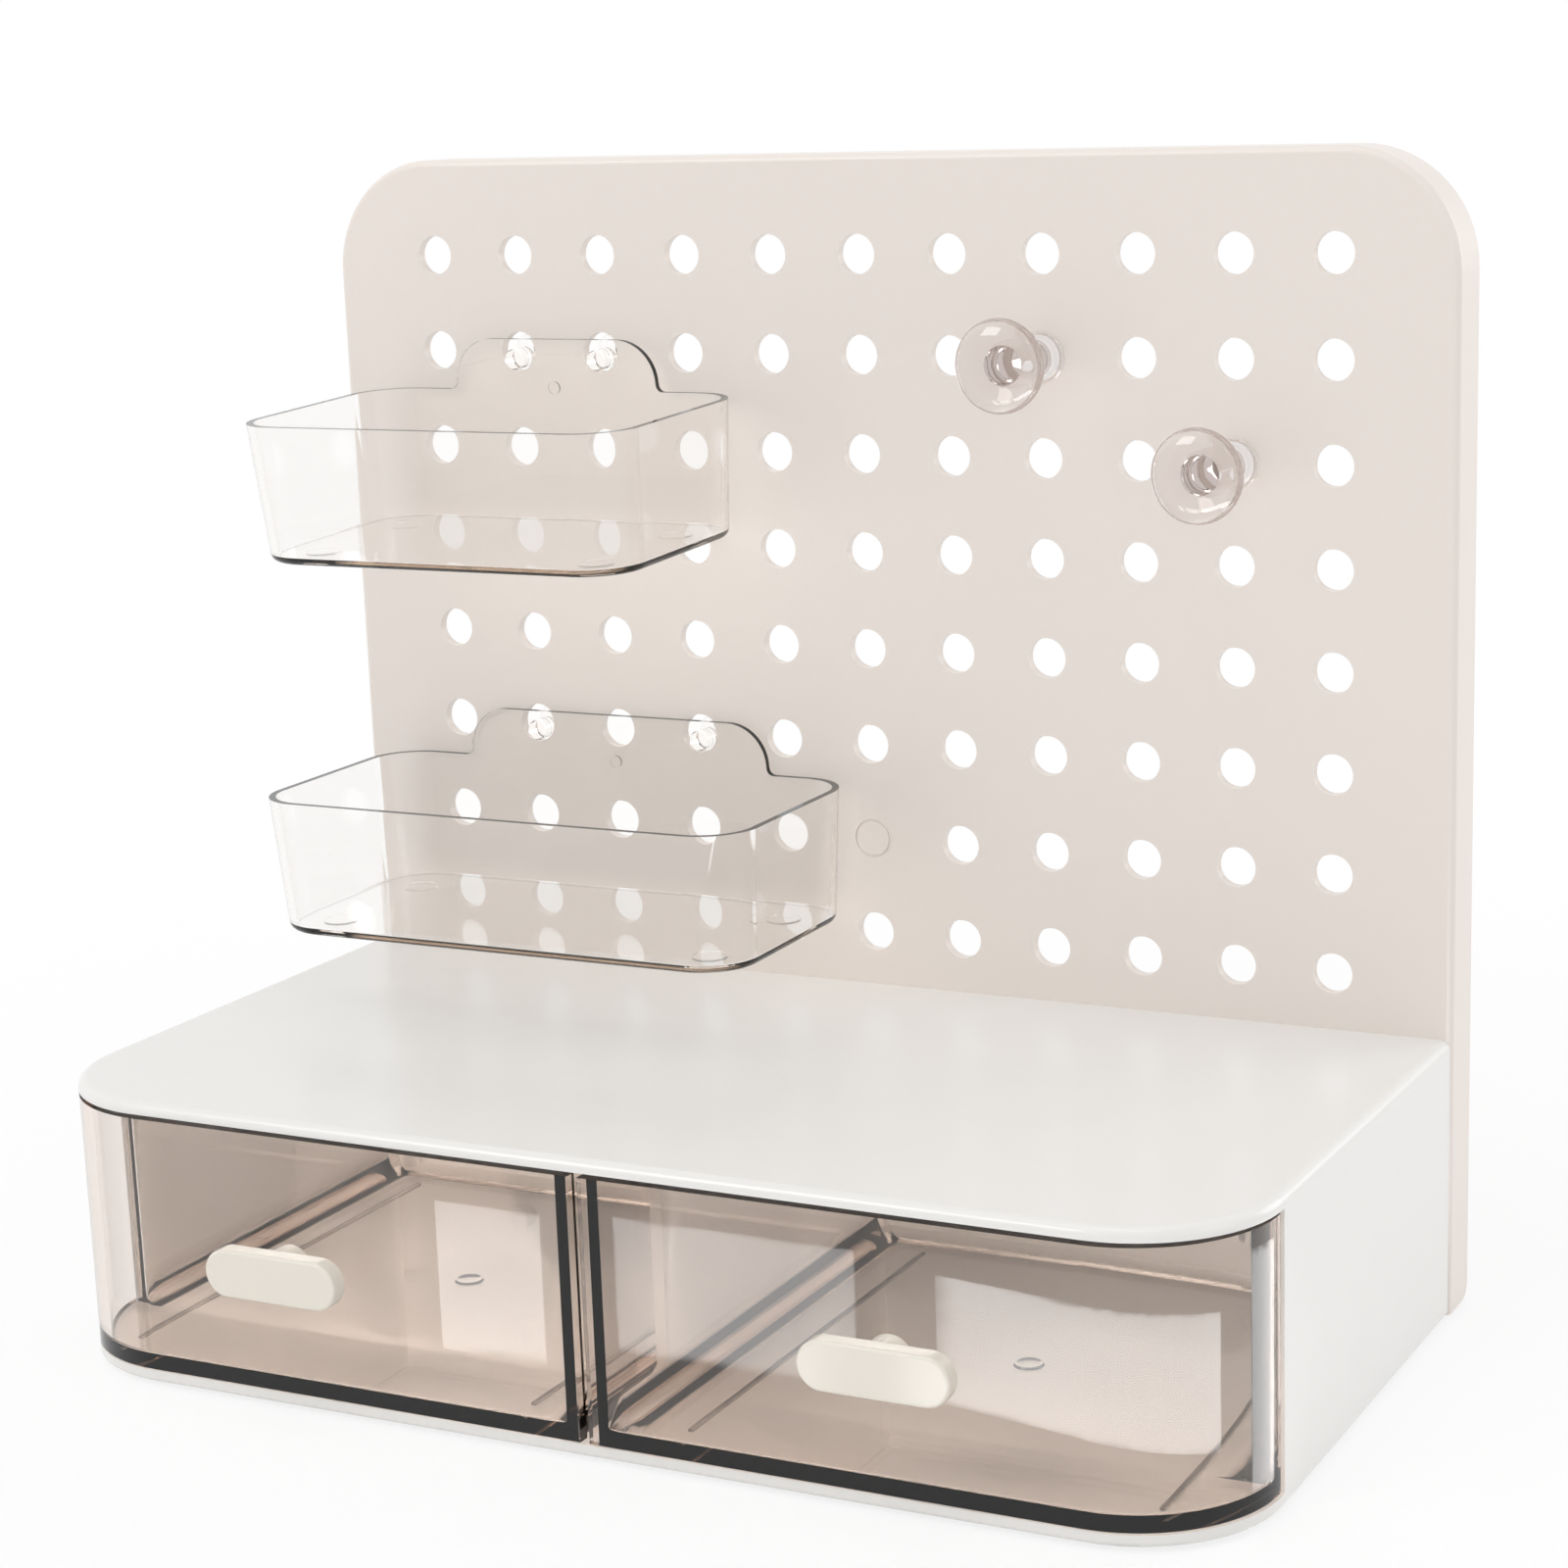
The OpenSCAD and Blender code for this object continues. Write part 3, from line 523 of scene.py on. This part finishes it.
def reach_past_side_wall(bm):
    """Draws the front's inner end a little past the side wall by the partition."""
    front_t, reach = 3.0, 1.5

    def side_faces():
        bm.normal_update()
        return [f for f in bm.faces if f.normal.x < -0.9 and abs(f.calc_center_median().x - INNER_X) < 0.05]

    wall = side_faces()
    around = dict.fromkeys(part for f in wall for part in (*f.edges, *f.verts))
    bmesh.ops.bisect_plane(bm, geom=wall + list(around), dist=1e-5,
                           plane_co=(0, FRONT_Y + front_t, 0), plane_no=(0, 1, 0))
    strip = [f for f in side_faces() if f.calc_center_median().y < FRONT_Y + front_t]
    moved, _ = extrude(bm, strip)
    bmesh.ops.translate(bm, vec=(-reach, 0, 0), verts=moved)
    bmesh.ops.recalc_face_normals(bm, faces=bm.faces)


def skids_and_mark():
    """Two skids under the drawer's floor, and the mark that the mould's gate leaves on it."""
    skid_offset, skid_y, skid_size = 57.0, -6.0, (1.2, 125.0, 0.7)
    mark_y, mark_low_r, mark_high_r, mark_t = -6.6, 3.9, 3.4, 0.9
    bm = bmesh.new()
    for side in (-1, 1):
        skid = bmesh.ops.create_cube(bm, size=1.0)["verts"]
        bmesh.ops.scale(bm, vec=skid_size, verts=skid)
        bmesh.ops.translate(bm, vec=(KNOB_X + side * skid_offset, skid_y, UNDER_Z - 0.25), verts=skid)
    on_floor = Matrix.Translation((KNOB_X, mark_y, FLOOR_Z + 0.15))
    mark = bmesh.ops.create_cone(bm, cap_ends=True, segments=40, radius1=mark_low_r, radius2=mark_high_r,
                                 depth=mark_t, matrix=on_floor)["verts"]
    top = max({f for v in mark for f in v.link_faces if len(f.verts) > 4},
              key=lambda f: f.calc_center_median().z)
    bmesh.ops.inset_region(bm, faces=[top], thickness=0.7, depth=0.0)
    bmesh.ops.inset_region(bm, faces=[top], thickness=0.8, depth=-0.45)
    return bm


def drawer(name, body, node, side):
    """A box in one piece with its front: the right one, or its mirror image on the left."""
    step_round, rim_round, under_round = 1.0, 0.5, 0.6
    bm = drawer_block()
    hollow_out(bm)
    step = [e for e in bm.edges if upright(e) and e.calc_length() > 50 and e.calc_face_angle(0) > 0.5
            and abs(e.verts[0].co.y - STEP_Y) < 0.05]
    round_edges(bm, step, step_round, 3)
    reach_past_side_wall(bm)
    rim = edges_where(bm, lambda c: c.z > BRIM_Z - 0.05, 50)
    underside = edges_where(bm, lambda c: c.z < UNDER_Z + 0.05, 50)
    round_edges(bm, rim, rim_round, 3)
    round_edges(bm, underside, under_round, 3)
    bm = join_solids(bm, skids_and_mark())
    if side < 0:
        bmesh.ops.scale(bm, vec=(-1, 1, 1), verts=bm.verts)
        bmesh.ops.reverse_faces(bm, faces=bm.faces)
    finish_piece(bm, name, body, node, "smoke_clear")


def knob(name, body, node, side):
    """A plate with round ends on a short round boss that stands in the drawer's front."""
    length, height, thick, stand_off, edge_round = 36.4, 11.8, 5.1, 9.5, 0.8
    boss_r, boss_length = 5.8, 7.0
    plate, boss = bmesh.new(), bmesh.new()
    add_stadium_plate(plate, length, height, thick, (side * KNOB_X, FRONT_Y - stand_off + thick / 2, KNOB_Z),
                      edge_round, 6, along="X")
    add_disc(boss, (side * KNOB_X, FRONT_Y - boss_length / 2, KNOB_Z), boss_r, boss_length, axis="Y",
             segments=64)
    pull = finish_piece(join_solids(plate, boss), name, body, node, "cream")
    # the knob is left out of mirror rays, so the drawer front behind it shows the painted reflection of the
    # glowing cards without the knob's own reflection
    pull.visible_glossy = False  # the front behind it mirrors the cards alone


drawer("drawer_left_box", "left_drawer", "drawer_left", -1)
drawer("drawer_right_box", "right_drawer", "drawer_right", 1)
knob("knob_left_pull", "left_drawer", "knob_left", -1)
knob("knob_right_pull", "right_drawer", "knob_right", 1)


# ---------- Camera ----------

camera = bpy.data.cameras.new("camera")
camera.sensor_width = 36
camera.lens = 77.053
camera.shift_x = -0.06639
camera.shift_y = 0.05138
camera.clip_start = 0.02
viewer = bpy.data.objects.new("camera", camera)
bpy.context.scene.collection.objects.link(viewer)
viewer.matrix_world = Matrix(((0.901175, -0.075134, 0.426894, 0.377311),
                              (0.432546, 0.219634, -0.874451, -0.689060),
                              (-0.028060, 0.972685, 0.230428, 0.305999),
                              (0, 0, 0, 1)))
bpy.context.scene.camera = viewer
bpy.context.scene.view_settings.view_transform = "Standard"


# ---------- Floor and world ----------

def seen_directly(tree):
    """1 for camera, mirror and see-through rays, else 0."""
    path = add_node(tree, "LightPath")
    seen = path.outputs["Is Camera Ray"]
    for name in ("Is Glossy Ray", "Is Transmission Ray"):
        seen = add_math(tree, "MAXIMUM", seen, path.outputs[name])
    return seen


def floor_white():
    """Matt white that turns to plain white away from the object, and keeps its shadow near it."""
    material, tree, shader, where = new_material("floor_white")
    feed(shader, {"Base Color": (0.9, 0.9, 0.9, 1), "Roughness": 0.9, "Specular IOR Level": 0.0})
    glow = add_node(tree, "Emission", {"Strength": 1.0})
    away = add_node(tree, "VectorMath", {0: where})
    away.operation = "LENGTH"
    plain = add_node(tree, "MapRange", {"Value": away.outputs["Value"], "From Min": 0.25, "From Max": 0.6,
                                        "To Min": 0.8, "To Max": 1.0})
    share = add_math(tree, "MULTIPLY", plain.outputs["Result"], seen_directly(tree))
    mix = add_node(tree, "MixShader", {"Fac": share, 1: shader.outputs["BSDF"], 2: glow.outputs["Emission"]})
    feed(tree.nodes["Material Output"], {"Surface": mix.outputs["Shader"]})
    return material


bpy.ops.mesh.primitive_plane_add(size=8, location=(0, 0, -0.0002))
floor = bpy.context.object
floor.name = "floor"
floor.data.materials.append(floor_white())

world = bpy.data.worlds.new("studio")
bpy.context.scene.world = world
world.use_nodes = True
tree = world.node_tree
strength = add_node(tree, "MapRange", {"Value": seen_directly(tree), "To Min": 0.75, "To Max": 1.0})
feed(tree.nodes["Background"], {"Color": (1, 1, 1, 1), "Strength": strength.outputs["Result"]})


# ---------- Lamps ----------

def softbox(name, place, aim, width, height, watts, colour=(1, 1, 1)):
    """A flat lamp, with its place, aim and size in metres."""
    lamp = bpy.data.lights.new(name, "AREA")
    lamp.shape = "RECTANGLE"
    lamp.size, lamp.size_y = width, height
    lamp.energy = watts
    lamp.color = colour
    obj = bpy.data.objects.new(name, lamp)
    bpy.context.scene.collection.objects.link(obj)
    obj.location = place
    obj.rotation_euler = (Vector(aim) - Vector(place)).to_track_quat("-Z", "Y").to_euler()
    return obj


softbox("key_softbox", (-1.0, -1.5, 1.5), (0, 0, 0.13), 0.8, 0.8, 11)
softbox("top_softbox", (-0.1, -0.3, 2.2), (0, 0, 0.1), 1.2, 1.2, 6.3)
softbox("side_softbox", (2.0, -0.2, 0.8), (0, 0, 0.1), 1.0, 1.0, 3.2, (0.96, 0.98, 1.0))
softbox("back_softbox", (1.3, 1.5, 0.7), (0, 0, 0.15), 1.0, 1.0, 7)

# flat lamps inside each drawer stand for the light that its smoke plastic swallows, so that the base
# around it isn't dark; they go with the drawer and light the base alone
bays = bpy.data.collections.new("bays")
for node in ("housing", "bottom_plate"):
    bays.objects.link(nodes[node])


def bay_lamp(name, body, place, aim, width, height, watts):
    """A flat lamp inside a drawer, with its place and aim in millimetres."""
    lamp = softbox(name, mm(*place), mm(*aim), width, height, watts)
    lamp.light_linking.receiver_collection = bays
    lamp.visible_camera = lamp.visible_glossy = lamp.visible_transmission = False
    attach(lamp, body)


# the lamp over each drawer is aimed a hair behind its foot, because straight down leaves its turn open
for side, end, down_watts, back_watts in ((-1, "left", 0.29, 0.34), (1, "right", 0.36, 0.25)):
    x = side * KNOB_X
    bay_lamp("bay_lamp_over_" + end, end + "_drawer", (x, -14, 67), (x, -13.999, 0), 0.14, 0.12, down_watts)
    bay_lamp("bay_lamp_front_" + end, end + "_drawer", (x, -44, 44), (x, 60, 30), 0.13, 0.04, back_watts)


# ---------- Glowing cards that lie before the drawers, go with them, and are seen in mirror rays alone, so they paint reflections of white light in the drawers' fronts ---

EYE = viewer.matrix_world.translation * 1000
CARD_Z = 0.2


def shown_on_floor(x, y, facing, z):
    """The place on the floor that shows in the drawer's front at (x, y, z), where it faces that way."""
    at = Vector((x, y))
    ray = at - EYE.xy
    run = z * ray.length / (EYE.z - z)
    away = (ray - 2 * ray.dot(facing) * facing).normalized()
    return at + run * away


def on_corner(turn):
    """A place on the drawer's round corner and the way it faces, by degrees from the front."""
    facing = Vector((math.sin(math.radians(turn)), -math.cos(math.radians(turn))))
    return CORNER_X + CORNER_R * facing.x, CORNER_Y + CORNER_R * facing.y, facing


def reflection_glow(name, brightness):
    """A glow with soft edges that are a little wavy, so that the painted reflection it makes in the plastic
    has soft, wavy edges too.
    """
    material, tree, shader, where = new_material(name)
    spot = add_node(tree, "UVMap")
    spot.uv_map = "card"
    ripple = add_node(tree, "TexNoise", {"Vector": where, "Scale": 40.0})
    shift = add_node(tree, "VectorMath", {0: ripple.outputs["Color"], 2: spot.outputs["UV"]})
    shift.operation = "MULTIPLY_ADD"
    shift.inputs[1].default_value = (0.02, 0.12, 0)
    split = add_node(tree, "SeparateXYZ", {0: shift.outputs["Vector"]})
    strength = brightness
    for axis, low, high, width in (("X", 0.01, 1.01, 0.015), ("Y", 0.06, 1.06, 0.05)):
        for edge, sign in ((low, 1), (high, -1)):
            fade = add_node(tree, "MapRange", {"Value": split.outputs[axis], "From Min": edge - sign * width,
                                               "From Max": edge + sign * width})
            fade.interpolation_type = "SMOOTHSTEP"
            strength = add_math(tree, "MULTIPLY", fade.outputs["Result"], strength)
    # no colour of its own: black, with a glow that shows only as a painted reflection
    feed(shader, {"Base Color": (0, 0, 0, 1), "Specular IOR Level": 0.0,
                  "Emission Color": (1, 1, 1, 1), "Emission Strength": strength})
    return material


def painted_reflection_card(name, body, brightness, places):
    """A glowing card, laid out from the camera's eye so that the edges of its painted reflection show at
    these places: X, Y, facing, lowest and highest level on the front.
    """
    bm = bmesh.new()
    uv = bm.loops.layers.uv.new("card")
    rows = [[bm.verts.new(mm(*shown_on_floor(x, y, facing, z), CARD_Z)) for z in (low, high)]
            for x, y, facing, low, high in places]
    last = len(rows) - 1
    for k in range(last):
        face = bm.faces.new([rows[k][0], rows[k + 1][0], rows[k + 1][1], rows[k][1]])
        for loop, (along, up) in zip(face.loops, ((k, 0), (k + 1, 0), (k + 1, 1), (k, 1))):
            loop[uv].uv = (along / last, up)
    mesh = bpy.data.meshes.new(name)
    bm.to_mesh(mesh)
    bm.free()
    mesh.materials.append(reflection_glow(name, brightness))
    card = bpy.data.objects.new(name, mesh)
    bpy.context.scene.collection.objects.link(card)
    # seen in mirror rays alone: the glow paints a reflection and lights nothing
    card.visible_camera = card.visible_diffuse = card.visible_shadow = card.visible_transmission = False
    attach(card, body)


flat = Vector((0, -1))
round_corner = [(*on_corner(turn), 25 - turn / 12, 55 - turn / 20) for turn in range(6, 60, 6)]
painted_reflection_card("painted_reflection_left", "left_drawer", 5.8,
           [(-37, FRONT_Y, flat, 22, 58), (-9, FRONT_Y, flat, 22, 58)])
painted_reflection_card("painted_reflection_middle", "right_drawer", 5.5,
           [(10, FRONT_Y, flat, 28, 60), (70, FRONT_Y, flat, 28, 60)])
painted_reflection_card("painted_reflection_right", "right_drawer", 8.0,
           [(89, FRONT_Y, flat, 28, 57), (CORNER_X, FRONT_Y, flat, 25, 55)] + round_corner)
painted_reflection_card("painted_reflection_corner", "right_drawer", 4.9,
           [(*on_corner(turn), 9, 64) for turn in range(69, 85, 3)])
